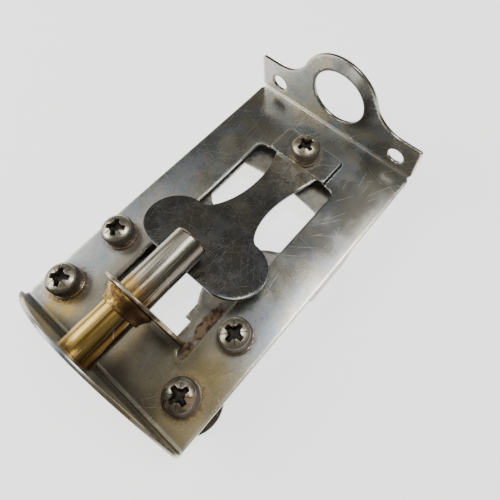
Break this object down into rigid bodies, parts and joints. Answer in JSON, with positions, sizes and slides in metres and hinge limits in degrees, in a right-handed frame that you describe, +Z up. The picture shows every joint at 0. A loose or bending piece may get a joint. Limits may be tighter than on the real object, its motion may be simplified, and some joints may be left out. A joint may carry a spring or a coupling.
{
  "type": "toggle bolt latch",
  "caption": "Bent sheet-steel latch body with a sliding round bolt, a sprung T-shaped leaf under it, a flange with a round eye and a mounting plate held below by screw stacks.",
  "frame": {"origin": "centre of the bounding box in plan, at the lowest points, which are the two ears' lower edges and the two sleeve-nut heads", "axes": "+X from the bolt's front flange to the eye flange along the bolt's axis, +Y across the body to the side where the screws stand further out, +Z up out of the body's channel, +X is the longest extent"},
  "size_m": [0.0834, 0.0511, 0.0325],
  "materials": {
    "body": "worn rolled stainless sheet, fine scratches, brown stains at the screws",
    "plate": "dull rolled sheet, darker than the body, rust at the open edges",
    "leaf": "dark polished spring steel with dense crossing scratches",
    "bolt": "turned and polished, heat-gold near the front, plain steel behind",
    "collar": "rusty gold, matt",
    "screw": "worn pan head, brown in the recess",
    "washer": "dull with rust in the gaps",
    "spacer": "dull, dark",
    "nut": "dull steel",
    "sleeve": "dark turned steel"
  },
  "bodies": {
    "chassis": {"base_plate": "body", "mounting_plate": "plate", "leaf_root": "leaf", "screw_a": "screw", "lock_washer_a": "washer", "flat_washer_a": "washer", "spacer_a": "spacer", "screw_b": "screw", "lock_washer_b": "washer", "flat_washer_b": "washer", "spacer_b": "spacer", "screw_c": "screw", "lock_washer_c": "washer", "flat_washer_c": "washer", "spacer_c": "spacer", "screw_d": "screw", "lock_washer_d": "washer", "flat_washer_d": "washer", "spacer_d": "spacer", "screw_e": "screw", "lock_washer_e": "washer", "flat_washer_e": "washer", "spacer_e": "spacer", "sleeve_nut_b": "sleeve", "sleeve_nut_d": "sleeve", "nut_washer_a": "washer", "nut_a": "nut", "nut_washer_c": "washer", "nut_c": "nut", "nut_washer_e": "washer", "nut_e": "nut"},
    "bolt": {"bolt": "bolt", "stop_collar": "collar"},
    "leaf": {"toggle_leaf": "leaf"}
  },
  "joints": [
    {"name": "bolt_slide", "type": "slide", "parent": "chassis", "child": "bolt", "axis": [-1, 0, 0], "range_m": [0, 0.0098]},
    {"name": "leaf_flex", "type": "hinge", "parent": "chassis", "child": "leaf", "pos_m": [0.01955, 0, 0.00835], "axis": [0, -1, 0], "range_deg": [0, 10], "stiffness_Nm_per_rad": 1, "springref_deg": -5.73}
  ]
}
